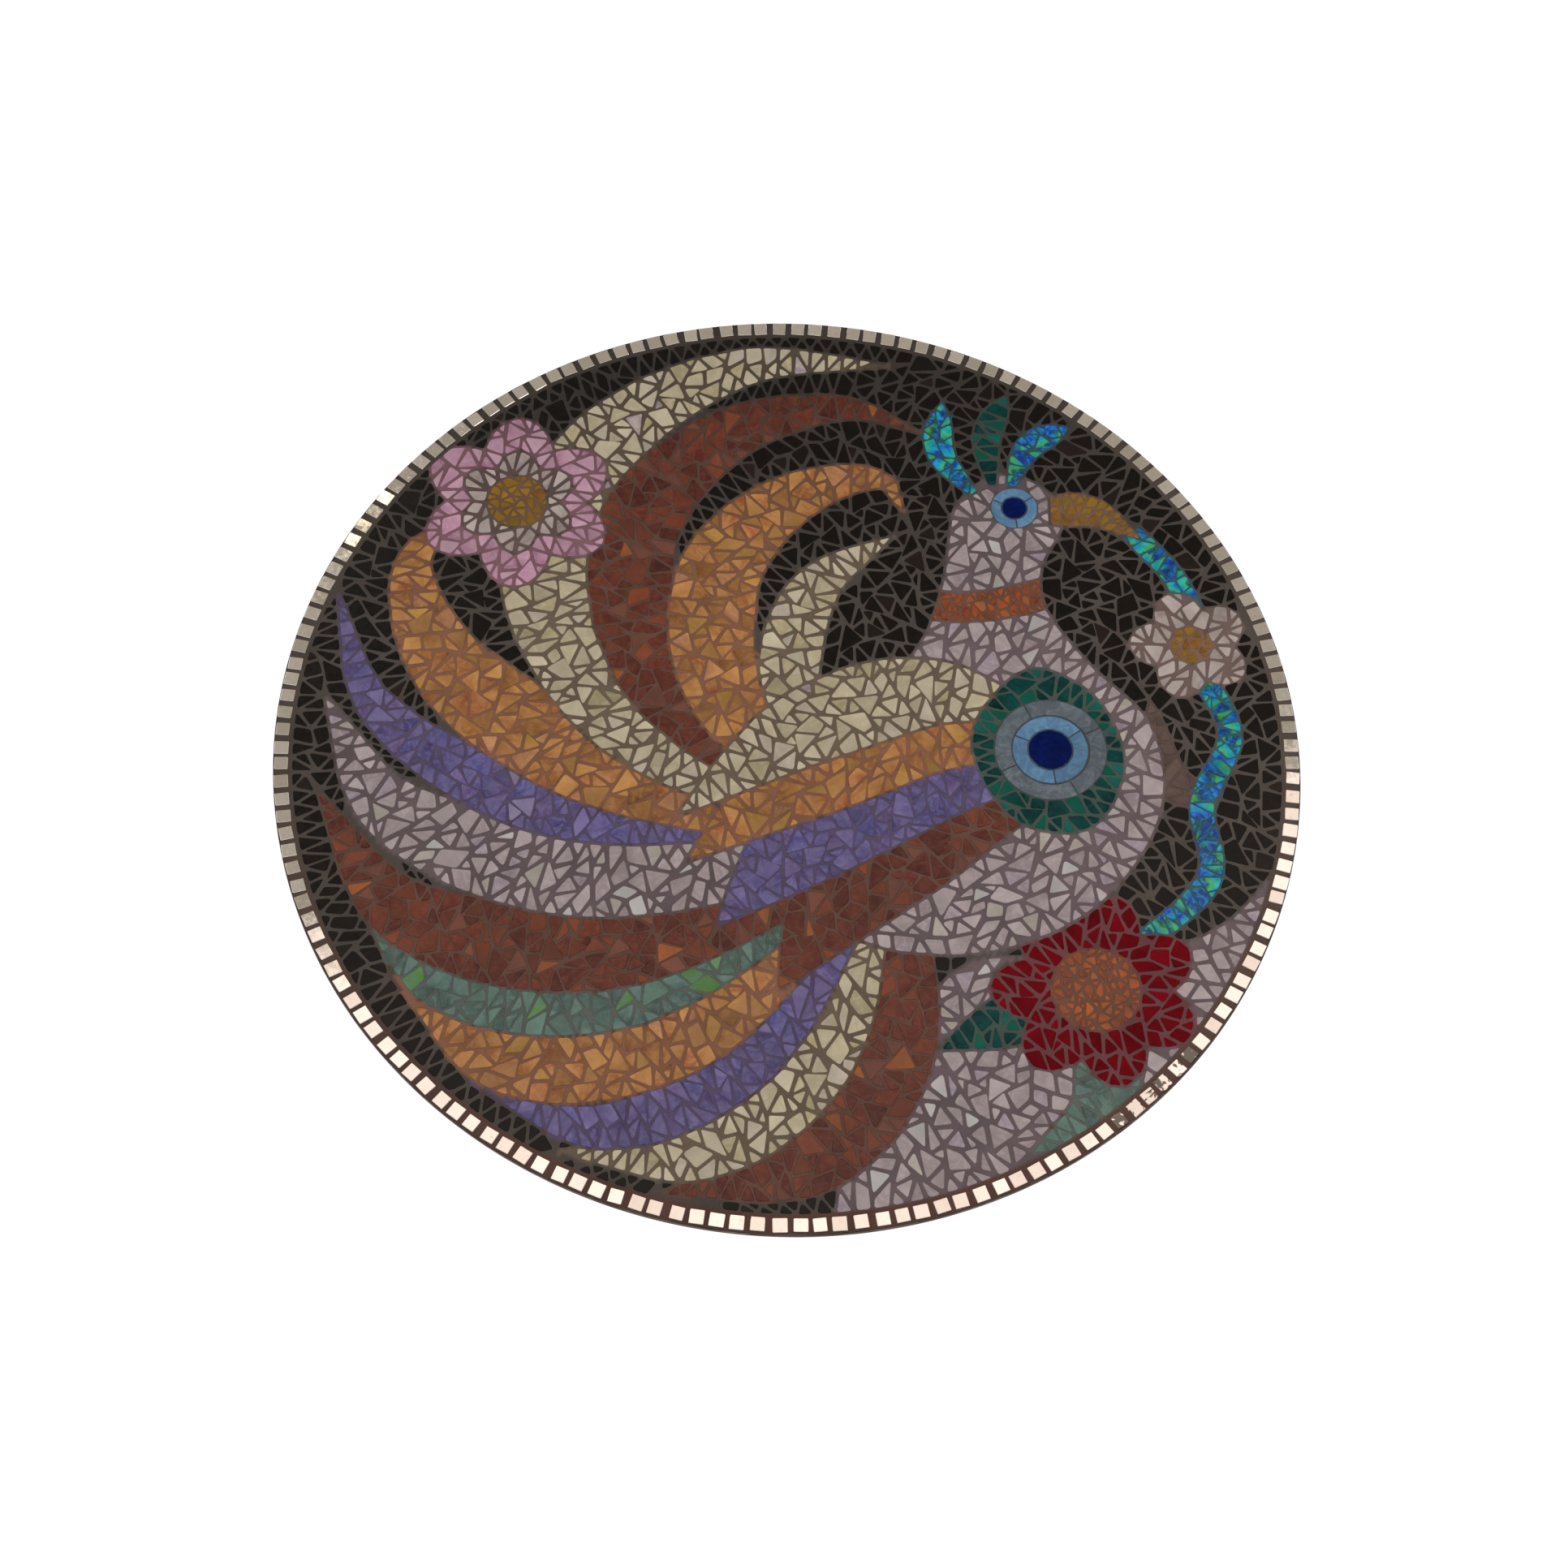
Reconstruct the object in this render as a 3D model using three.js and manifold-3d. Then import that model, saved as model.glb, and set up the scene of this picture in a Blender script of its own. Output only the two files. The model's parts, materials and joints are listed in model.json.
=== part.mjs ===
// Round glass mosaic panel for a wall, in millimetres: +Z up, the front facing -Y, the origin at the centre
// of the back face. A thin board carries a coat of adhesive. On it lie the coloured areas of a picture, a
// long-tailed bird among plumes and flowers, and round them one row of square mirror tiles.
import * as THREE from "three";
import { mergeVertices } from "three/addons/utils/BufferGeometryUtils.js";
import Module from "manifold-3d";

const wasm = await Module();
wasm.setup();

// Driving sizes
const PANEL_DIAMETER = 720;
const BOARD_THICKNESS = 5;
const BOARD_CHAMFER = 1.5;
const ADHESIVE_THICKNESS = 1;
const GLASS_THICKNESS = 3;
const MIRROR_TILE = 10;
const MIRROR_JOINT = 3.55;
const MIRROR_RISE = 0.5;
const OUTER_MARGIN = 1.2;
const INNER_MARGIN = 1.6;
const CLEARANCE = 0.3;
const SLIVER_SHARE = 0.00012;
const RIM_FACETS = 72;
const DISC_FACETS = 16;
const LOBE_STEPS = 6;
const OUTLINE_STEP = 13;
const OUTLINE_TOLERANCE = 1.2;
const LONGEST_MITRE = 2.5;

// Levels, from the wall to the front
const BOARD_FRONT = -BOARD_THICKNESS;
const ADHESIVE_FRONT = BOARD_FRONT - ADHESIVE_THICKNESS;
const GLASS_FRONT = ADHESIVE_FRONT - GLASS_THICKNESS;
const GROUT_FRONT = GLASS_FRONT + MIRROR_RISE;
const CUTTER_REACH = 5;

// Radii
const PANEL_RADIUS = PANEL_DIAMETER / 2;
const MIRROR_RADIUS = PANEL_RADIUS - OUTER_MARGIN - MIRROR_TILE / 2;
const ROW_INNER_RADIUS = MIRROR_RADIUS - MIRROR_TILE / 2 - INNER_MARGIN;
const PICTURE_RADIUS = ROW_INNER_RADIUS - CLEARANCE;
const MIRROR_COUNT = Math.round((2 * Math.PI * MIRROR_RADIUS) / (MIRROR_TILE + MIRROR_JOINT));

// Glass and other materials: colour, roughness, metalness
const FINISHES = {
  board: [0x4a3f37, 0.8, 0],
  grout: [0x6a5f57, 0.9, 0],
  mirror: [0xe8e4de, 0.05, 1],
  black: [0x1a1816, 0.25, 0],
  pearl: [0xa9a0a4, 0.2, 0],
  cream: [0xbdb696, 0.25, 0],
  copper: [0xb67536, 0.25, 0],
  brown: [0x5f2b20, 0.3, 0],
  purple: [0x5c4d88, 0.3, 0],
  red: [0x86081a, 0.25, 0],
  ember: [0xa8582f, 0.2, 0],
  teal: [0x0d5f4f, 0.2, 0],
  sage: [0x4f7563, 0.3, 0],
  opal: [0x1466b4, 0.15, 0],
  white: [0xbdb4b0, 0.2, 0],
  pink: [0xbf8fae, 0.25, 0],
  gold: [0xa98326, 0.25, 0],
  taupe: [0x6d5a58, 0.5, 0],
  steel_blue: [0x5d707a, 0.15, 0],
  sky_blue: [0x5d8fb8, 0.1, 0],
  deep_blue: [0x0a1d6b, 0.08, 0],
};

const materials = {};
for (const [name, [color, roughness, metalness]] of Object.entries(FINISHES)) {
  materials[name] = new THREE.MeshStandardMaterial({ name, color, roughness, metalness });
}

// Outlines, as closed lists of points in the picture's plane: x to the right, y up

function circle(radius, facets = RIM_FACETS) {
  const turn = (i) => (2 * Math.PI * i) / facets;
  return Array.from({ length: facets }, (_, i) => {
    return new THREE.Vector2(radius * Math.cos(turn(i)), radius * Math.sin(turn(i)));
  });
}

// A smooth curve through points given as shares of the picture's radius
function curveThrough(shares, closed) {
  const points = shares.map(([x, z]) => new THREE.Vector3(x * PICTURE_RADIUS, z * PICTURE_RADIUS, 0));
  return new THREE.CatmullRomCurve3(points, closed, "centripetal");
}

function stepsAlong(curve) {
  return Math.max(4, Math.round(curve.getLength() / OUTLINE_STEP));
}

// Drops the points that lie within the tolerance of the line between their neighbours
function simplified(points) {
  const keep = new Array(points.length).fill(false);
  const half = Math.floor(points.length / 2);
  const offLine = (p, a, b) => {
    const along = b.clone().sub(a);
    const out = p.clone().sub(a);
    return along.length() < 1e-6 ? out.length() : Math.abs(along.cross(out)) / along.length();
  };
  const split = (from, to) => {
    keep[from % points.length] = true;
    let furthest = from;
    let most = OUTLINE_TOLERANCE;
    for (let i = from + 1; i < to; i++) {
      const d = offLine(points[i % points.length], points[from % points.length], points[to % points.length]);
      if (d > most) {
        most = d;
        furthest = i;
      }
    }
    if (furthest > from) {
      split(from, furthest);
      split(furthest, to);
    }
  };
  split(0, half);
  split(half, points.length);
  return points.filter((_, i) => keep[i]);
}

// A closed free form
function blob(shares) {
  const curve = curveThrough(shares, true);
  const points = curve.getSpacedPoints(stepsAlong(curve)).slice(0, -1);
  return points.map((p) => new THREE.Vector2(p.x, p.y));
}

function disc([x, z], share) {
  const radius = share * PICTURE_RADIUS;
  const centre = new THREE.Vector2(x, z).multiplyScalar(PICTURE_RADIUS);
  const facets = Math.max(DISC_FACETS, Math.round((2 * Math.PI * radius) / OUTLINE_STEP));
  return circle(radius, facets).map((p) => p.add(centre));
}

// A band along a spine. Its width rises from the root's share to the full width, and runs out at the tip.
function plume(shares, width, { root = 0.3, fullest = 0.45, tip = 0.04 } = {}) {
  const spine = curveThrough(shares, false);
  const steps = stepsAlong(spine);
  const left = [];
  const right = [];
  for (let i = 0; i <= steps; i++) {
    const t = i / steps;
    const swell =
      t < fullest
        ? root + (1 - root) * Math.sin(((t / fullest) * Math.PI) / 2)
        : tip + (1 - tip) * Math.cos((((t - fullest) / (1 - fullest)) * Math.PI) / 2);
    const half = (width * PICTURE_RADIUS * swell) / 2;
    const p = spine.getPointAt(t);
    const d = spine.getTangentAt(t);
    left.push(new THREE.Vector2(p.x - d.y * half, p.y + d.x * half));
    right.push(new THREE.Vector2(p.x + d.y * half, p.y - d.x * half));
  }
  return [...right, ...left.reverse()];
}

// A band of even width
const ribbon = (shares, width) => plume(shares, width, { root: 1, fullest: 0.5, tip: 1 });

// A flower's ring of joined round petals
function rosette([x, z], radius, lobes, depth) {
  const steps = lobes * LOBE_STEPS;
  const points = [];
  for (let i = 0; i < steps; i++) {
    const a = (2 * Math.PI * i) / steps;
    const r = radius * (1 - depth + depth * Math.abs(Math.sin((lobes * a) / 2)));
    points.push(new THREE.Vector2(x + r * Math.cos(a), z + r * Math.sin(a)).multiplyScalar(PICTURE_RADIUS));
  }
  return points;
}

// The picture, from its front shape to its ground: name, glass, outline, and the outline that holds it in
const WING_EYE = [0.53, 0.0];
const RED_FLOWER = [0.6, -0.53];
const PINK_FLOWER = [-0.57, 0.57];
const WHITE_FLOWER = [0.83, 0.25];
const BODY = blob([
  [0.45, 0.66], [0.55, 0.62], [0.58, 0.54], [0.53, 0.44], [0.53, 0.34], [0.62, 0.2], [0.74, 0.06],
  [0.75, -0.14], [0.6, -0.36], [0.36, -0.46], [0.12, -0.42], [0.1, -0.3], [0.06, -0.1], [0.14, 0.06],
  [0.28, 0.26], [0.33, 0.44], [0.35, 0.58],
]);

const SHAPES = [
  // Head and neck
  ["eye", "deep_blue", disc([0.475, 0.575], 0.026)],
  ["eye_ring", "sky_blue", disc([0.475, 0.575], 0.05)],
  ["beak", "gold", plume([[0.55, 0.57], [0.64, 0.57], [0.74, 0.5]], 0.085, { root: 0.8, fullest: 0.15 })],
  ["crest_front", "opal", plume([[0.47, 0.63], [0.51, 0.73], [0.6, 0.78]], 0.065, { fullest: 0.7 })],
  ["crest_middle", "teal", plume([[0.43, 0.63], [0.42, 0.75], [0.47, 0.86]], 0.065, { fullest: 0.7 })],
  ["crest_back", "opal", plume([[0.39, 0.61], [0.32, 0.71], [0.33, 0.84]], 0.065, { fullest: 0.7 })],
  ["collar", "ember", ribbon([[0.2, 0.36], [0.34, 0.33], [0.48, 0.35], [0.66, 0.42]], 0.07), BODY],

  // Wing and body
  ["wing_eye_centre", "deep_blue", disc(WING_EYE, 0.045)],
  ["wing_eye_middle", "sky_blue", disc(WING_EYE, 0.078)],
  ["wing_eye", "steel_blue", disc(WING_EYE, 0.115)],
  ["shoulder", "teal", blob([
    [0.5, 0.19], [0.63, 0.12], [0.68, -0.04], [0.6, -0.18], [0.45, -0.16], [0.37, 0.03],
  ])],
  ["wing_cream", "cream", plume([
    [0.48, 0.09], [0.28, 0.13], [0.03, 0.04], [-0.22, -0.16],
  ], 0.19, { fullest: 0.45 })],
  ["wing_copper", "copper", plume([
    [0.48, 0.02], [0.27, 0.02], [0.02, -0.08], [-0.2, -0.26],
  ], 0.2, { fullest: 0.5 })],
  ["wing_purple", "purple", plume([
    [0.48, -0.05], [0.28, -0.09], [0.05, -0.2], [-0.14, -0.4],
  ], 0.21, { fullest: 0.55 })],
  ["wing_brown", "brown", plume([
    [0.5, -0.1], [0.32, -0.19], [0.12, -0.32], [-0.02, -0.54],
  ], 0.21, { fullest: 0.55 })],
  ["body", "pearl", BODY],

  // Flowers before the tail, and the vine
  ["pink_flower_centre", "gold", disc(PINK_FLOWER, 0.065)],
  ["pink_flower_inner", "white", rosette(PINK_FLOWER, 0.13, 6, 0.3)],
  ["pink_flower", "pink", rosette(PINK_FLOWER, 0.21, 6, 0.3)],
  ["white_flower_centre", "gold", disc(WHITE_FLOWER, 0.045)],
  ["white_flower", "white", rosette(WHITE_FLOWER, 0.13, 5, 0.3)],
  ["red_flower_centre", "ember", disc(RED_FLOWER, 0.09)],
  ["red_flower", "red", rosette(RED_FLOWER, 0.21, 7, 0.28)],
  ["vine_top", "opal", ribbon([[0.72, 0.52], [0.8, 0.42], [0.85, 0.3]], 0.05)],
  ["vine", "opal", ribbon([[0.84, 0.2], [0.9, 0.04], [0.83, -0.12], [0.84, -0.28], [0.64, -0.48]], 0.05)],

  // Tail
  ["tail_cream_inner", "cream", plume([[0.06, -0.06], [0.0, 0.18], [0.06, 0.38], [0.22, 0.5]], 0.13)],
  ["tail_copper_inner", "copper", plume([
    [0.06, -0.14], [-0.14, 0.14], [-0.14, 0.42], [0.02, 0.6], [0.2, 0.64], [0.24, 0.56],
  ], 0.18)],
  ["tail_brown_top", "brown", plume([
    [0.06, -0.16], [-0.27, 0.16], [-0.32, 0.5], [-0.14, 0.74], [0.12, 0.82], [0.28, 0.76],
  ], 0.18)],
  ["tail_cream_top", "cream", plume([
    [0.06, -0.18], [-0.34, 0.06], [-0.5, 0.4], [-0.39, 0.72], [-0.1, 0.92], [0.22, 0.93],
  ], 0.2)],
  ["tail_copper_left", "copper", plume([
    [0.06, -0.2], [-0.44, -0.02], [-0.7, 0.18], [-0.78, 0.42], [-0.68, 0.54],
  ], 0.2)],
  ["tail_purple", "purple", plume([[0.08, -0.17], [-0.5, -0.14], [-0.84, 0.08], [-0.93, 0.34]], 0.13)],
  ["tail_pearl_left", "pearl", plume([[0.1, -0.26], [-0.46, -0.28], [-0.8, -0.15], [-0.94, 0.1]], 0.21)],
  ["tail_brown_left", "brown", plume([[0.12, -0.28], [-0.4, -0.45], [-0.76, -0.38], [-0.94, -0.12]], 0.2)],
  ["tail_sage", "sage", plume([[0.12, -0.3], [-0.34, -0.56], [-0.68, -0.54], [-0.87, -0.31]], 0.14)],
  ["tail_copper_low", "copper", plume([[0.14, -0.3], [-0.24, -0.64], [-0.54, -0.7], [-0.77, -0.52]], 0.19)],
  ["tail_purple_low", "purple", plume([[0.16, -0.32], [-0.1, -0.7], [-0.36, -0.83], [-0.61, -0.74]], 0.13)],
  ["tail_cream_low", "cream", plume([[0.18, -0.32], [0.03, -0.69], [-0.17, -0.87], [-0.44, -0.88]], 0.18)],
  ["tail_brown_low", "brown", plume([[0.24, -0.34], [0.19, -0.68], [0.04, -0.89], [-0.24, -0.96]], 0.18)],

  // Leaves, hill and ground
  ["leaf_left", "teal", plume([RED_FLOWER, [0.42, -0.6], [0.29, -0.66]], 0.12)],
  ["leaf_right", "taupe", plume([[0.86, -0.12], [0.76, -0.06], [0.74, 0.12]], 0.09)],
  ["leaf_low", "sage", plume([RED_FLOWER, [0.6, -0.78], [0.46, -0.87]], 0.13)],
  ["hill", "pearl", blob([
    [0.1, -1.05], [0.2, -0.7], [0.34, -0.48], [0.62, -0.46], [0.84, -0.4], [1.1, -0.16], [1.1, -1.1],
  ])],
  ["ground", "black", disc([0, 0], 1.02)],
];

// Solids

// A slab between two levels over an outline, as a geometry whose levels are exact
function slabGeometry(outline, back, front, hole) {
  const shape = new THREE.Shape(outline);
  if (hole) shape.holes.push(new THREE.Path(hole));
  const geometry = new THREE.ExtrudeGeometry(shape, { depth: 1, steps: 1, bevelEnabled: false });
  const p = geometry.getAttribute("position");
  for (let i = 0; i < p.count; i++) {
    p.setXYZ(i, p.getX(i), p.getZ(i) > 0.5 ? front : back, p.getY(i));
  }
  return geometry;
}

function solid(geometry) {
  const bare = geometry.clone();
  bare.deleteAttribute("normal");
  bare.deleteAttribute("uv");
  const merged = mergeVertices(bare, 1e-4);
  return new wasm.Manifold(
    new wasm.Mesh({
      numProp: 3,
      vertProperties: merged.getAttribute("position").array,
      triVerts: new Uint32Array(merged.index.array),
    }),
  );
}

// A solid's mesh as a geometry, with every point put back on the level nearest to it
function geometryOf(made, levels) {
  const mesh = made.getMesh();
  const positions = Float32Array.from(mesh.vertProperties);
  for (let i = 1; i < positions.length; i += 3) {
    const y = positions[i];
    positions[i] = levels.reduce((a, b) => (Math.abs(b - y) < Math.abs(a - y) ? b : a));
  }
  const geometry = new THREE.BufferGeometry();
  geometry.setAttribute("position", new THREE.BufferAttribute(positions, 3));
  geometry.setIndex(new THREE.BufferAttribute(Uint32Array.from(mesh.triVerts), 1));
  return geometry.toNonIndexed();
}

// An outline moved outwards all round, with its sharp corners cut short
function grown(outline, distance) {
  const turn = THREE.ShapeUtils.area(outline) > 0 ? 1 : -1;
  return outline.map((p, i) => {
    const before = outline[(i + outline.length - 1) % outline.length];
    const after = outline[(i + 1) % outline.length];
    const a = p.clone().sub(before).normalize();
    const b = after.clone().sub(p).normalize();
    const out = new THREE.Vector2(a.y + b.y, -a.x - b.x);
    out.normalize();
    const mitre = Math.min(LONGEST_MITRE, 1 / (out.x * a.y - out.y * a.x));
    return p.clone().addScaledVector(out, turn * distance * mitre);
  });
}

const panel = new THREE.Group();
function place(name, finish, geometry) {
  const mesh = new THREE.Mesh(geometry, materials[finish]);
  mesh.name = name;
  panel.add(mesh);
}

function boardGeometry() {
  const r = PANEL_RADIUS;
  const profile = [
    [0, BOARD_FRONT],
    [r, BOARD_FRONT],
    [r, -BOARD_CHAMFER],
    [r - BOARD_CHAMFER, 0],
    [0, 0],
  ].map(([x, y]) => new THREE.Vector2(x, y));
  return new THREE.LatheGeometry(profile, RIM_FACETS);
}

// The row of mirror tiles in its ring of grout
function mirrorRow() {
  let row = solid(slabGeometry(circle(PANEL_RADIUS), ADHESIVE_FRONT, GROUT_FRONT, circle(ROW_INNER_RADIUS)));
  const half = MIRROR_TILE / 2;
  const square = [[-half, -half], [half, -half], [half, half], [-half, half]];
  for (let i = 0; i < MIRROR_COUNT; i++) {
    const a = (2 * Math.PI * (i + 0.5)) / MIRROR_COUNT;
    const corners = square.map(([x, y]) =>
      new THREE.Vector2(MIRROR_RADIUS + x, y).rotateAround(new THREE.Vector2(), a),
    );
    row = row.add(solid(slabGeometry(corners, ADHESIVE_FRONT, GLASS_FRONT)));
  }
  return row;
}

place("backing_board", "board", boardGeometry());
place("adhesive_coat", "grout", slabGeometry(circle(PANEL_RADIUS), BOARD_FRONT, ADHESIVE_FRONT));
place("mirror_row", "mirror", geometryOf(mirrorRow(), [ADHESIVE_FRONT, GROUT_FRONT, GLASS_FRONT]));

function cutterOver(outline) {
  return solid(slabGeometry(outline, ADHESIVE_FRONT + CUTTER_REACH, GLASS_FRONT - CUTTER_REACH));
}

// Each area is its shape less the shapes in front of it. Slivers of a tiny share of the picture aren't kept.
const field = solid(slabGeometry(circle(PICTURE_RADIUS), ADHESIVE_FRONT, GLASS_FRONT));
let inFront = null;
for (const [name, glass, drawn, within] of SHAPES) {
  const outline = simplified(drawn);
  let cutter = cutterOver(grown(outline, CLEARANCE));
  let area = cutterOver(outline).intersect(field);
  if (within) {
    area = area.intersect(cutterOver(simplified(within)));
    cutter = cutter.intersect(cutterOver(grown(simplified(within), CLEARANCE)));
  }
  if (inFront) area = area.subtract(inFront);
  const pieces = area
    .decompose()
    .filter((piece) => piece.volume() > SLIVER_SHARE * field.volume())
    .sort((a, b) => b.volume() - a.volume());
  pieces.forEach((piece, i) => {
    const label = pieces.length > 1 ? `${name}_${i + 1}` : name;
    place(label, glass, geometryOf(piece, [ADHESIVE_FRONT, GLASS_FRONT]));
  });
  inFront = inFront ? inFront.add(cutter) : cutter;
}

export default panel;
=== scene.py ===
"""Looks of a round wall panel of glass mosaic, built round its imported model, in metres.

The panel stands upright, with its front facing -Y and the middle of its flat back at the origin. Each
coloured area of the model gives its outline to hand-cut glass tiles, which stand in one bed of grout.
Round them runs a row of small mirror tiles, and behind them lie the coat of adhesive and the board.
"""

import json
import math

import bpy
import numpy as np
from mathutils import Matrix, Vector
from mathutils.geometry import delaunay_2d_cdt


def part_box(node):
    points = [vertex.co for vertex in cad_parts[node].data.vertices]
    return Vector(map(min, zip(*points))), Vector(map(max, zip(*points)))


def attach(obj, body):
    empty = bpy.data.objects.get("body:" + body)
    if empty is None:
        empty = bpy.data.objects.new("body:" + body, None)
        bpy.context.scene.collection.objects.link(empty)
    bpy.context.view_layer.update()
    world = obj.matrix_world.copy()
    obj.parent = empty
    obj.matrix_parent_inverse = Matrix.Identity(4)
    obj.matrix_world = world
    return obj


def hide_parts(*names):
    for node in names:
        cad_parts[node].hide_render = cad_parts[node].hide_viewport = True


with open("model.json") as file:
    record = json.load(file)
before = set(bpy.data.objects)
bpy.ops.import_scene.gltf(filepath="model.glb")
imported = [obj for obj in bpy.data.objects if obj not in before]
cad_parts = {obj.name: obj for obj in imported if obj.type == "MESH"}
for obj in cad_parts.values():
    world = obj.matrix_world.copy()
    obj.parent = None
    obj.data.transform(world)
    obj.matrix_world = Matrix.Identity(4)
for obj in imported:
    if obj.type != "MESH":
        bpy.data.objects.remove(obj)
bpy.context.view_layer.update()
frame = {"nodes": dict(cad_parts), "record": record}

MM = 0.001
SEED = 11

# Levels and radii, from the frame. Y runs from the front, which is negative, to the wall at zero.
board_low, board_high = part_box("backing_board")
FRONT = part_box("mirror_row")[0].y
COAT_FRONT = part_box("adhesive_coat")[0].y
BOARD_FRONT = board_low.y
PANEL_RADIUS = board_high.x
ROUND_SEGMENTS = 360

# The mirror row, as in the model
MIRROR_TILE = 10 * MM
MIRROR_JOINT = 3.55 * MM
OUTER_MARGIN = 1.2 * MM
INNER_MARGIN = 1.6 * MM
MIRROR_RADIUS = PANEL_RADIUS - OUTER_MARGIN - MIRROR_TILE / 2
ROW_INNER_RADIUS = MIRROR_RADIUS - MIRROR_TILE / 2 - INNER_MARGIN
MIRROR_COUNT = round(2 * math.pi * MIRROR_RADIUS / (MIRROR_TILE + MIRROR_JOINT))

# How unevenly the mirror tiles are set: along the row as a share of the pitch, outwards in millimetres,
# turned in degrees, leaning in radians, and their size as a share of the full tile. A few get painted dark
# reflections.
MIRROR_SLIDE = 0.07
MIRROR_SHIFT = (0.3, 0.65)
MIRROR_TURN = 3.5
MIRROR_TILT = 0.009
MIRROR_SIZE = (0.92, 1.02)
MIRROR_CORNER = 0.65 * MM
# The mirror tiles that get painted dark reflections, and how strongly
PAINTED_REFLECTION_TILES = range(140, 146)
PAINTED_REFLECTION_RANGE = (0.7, 1.2)

# A glass tile: where its sides start, how far it sinks and leans, and how its edge and corners are eased
TILE_ROOT = FRONT + 2.2 * MM
TILE_SINK = 0.14 * MM
TILE_TILT = 0.011
LARGEST_DROP = 0.12 * MM
TILE_EDGE = 0.3 * MM
CORNER_CUT = 1.7 * MM
CORNER_SPREAD = (0.6, 1.5)
SHARP_CORNER_CUT = 0.9
LARGEST_CUT = 0.32
DISC_SEGMENTS = 48
ARC_SEGMENTS = 20
ARC_START = 0.3

# The points that the tiles are laid between. SIDE gives the side of a triangle from a tile's area, and the
# other distances are shares of that side.
SIDE = 1.52
RIM_STEP = 0.92
SCATTER_CELL = 0.4
RIM_CLEARANCE = 0.58
SPACING = (0.78, 0.9)
SHARP_TURN = math.radians(34)
FEWEST_PARTS = 6
EVENING = 5
EVENED_SHARE = 0.6

# The pairs of triangles that are joined into one tile
PAIRED = 0.26
LARGEST_PAIR = 1.35
CROWD_CHANCE = 1.5
LEAST_BEND = math.radians(38)
LONGEST_SIDE = 2.4

# The straight runs of joints, and how far the tiles slip along them
STRAIGHT_RUN = 0.86
UNEVEN_SIDES = 0.05
RUN_CHANCE = 0.08
SLIP = (0.16, 0.32)

# The half of a joint that a tile leaves, as a share of the joint, and how far it leans, in degrees
JOINT_SHARE = (0.34, 0.62)
JOINT_EXTRA = (-0.02, 0.1)
JOINT_LEAN = 5
RIM_SHARE = 0.4
OUTER_SHARE = 0.1
BESIDE_ROW = 1.0 * MM
SMALLEST_SHARE = 0.09

# The grout: its level below the tiles' fronts, its roughness and mesh, and its edge
GROUT_DEPTH = 0.55 * MM
GROUT_ROUGHNESS = 0.14 * MM
GROUT_GRID = 3 * MM
GROUT_INSET = 0.25 * MM
GROUT_EDGE_DROP = 0.5 * MM
AREA_MARGIN = 1 * MM

# Its colours outside the picture, and the painted shade that darkens it upwards and the painted light that
# pales it to the right, in panel radii
ROW_GROUT_HIGH = 0x4B433D
ROW_GROUT_LOW = 0x563A32
GROUT_SIDE = 0x3A322C
COAT_COLOUR = 0x443A33
PAINTED_TOP_SHADE = 0.42
PAINTED_SHADE_START = 0.25
PAINTED_SHADE_REACH = 0.6
PAINTED_LIGHT_RIGHT = 0.25

# The board's rounded back edge, and how far the coat's edge wanders, in millimetres
BOARD_CHAMFER = 1.5 * MM
BOARD_EASE = 0.3 * MM
COAT_WANDER = 0.9
WANDER_WIDTH = 7

# The room: white behind the panel, greyer in front of it, and a pale floor well below
ROOM_BEHIND = (1.02, 1.02, 1.02, 1.0)
ROOM_LOW = (0.46, 0.44, 0.43, 1.0)
ROOM_HIGH = (0.44, 0.39, 0.33, 1.0)
FLOOR_COLOUR = (0.8, 0.79, 0.77, 1.0)
FLOOR_REACH = 9.0
FLOOR_LEVEL = -3.0

# Glass in general: the flow from which a tile runs through several colours, how much paler one end of a tile
# gets with less flow, the index of refraction, and how much tiles differ in tone
FLOWING = 0.6
PALER = 0.6
GLASS_IOR = 1.34
TONES = 0.15
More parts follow.
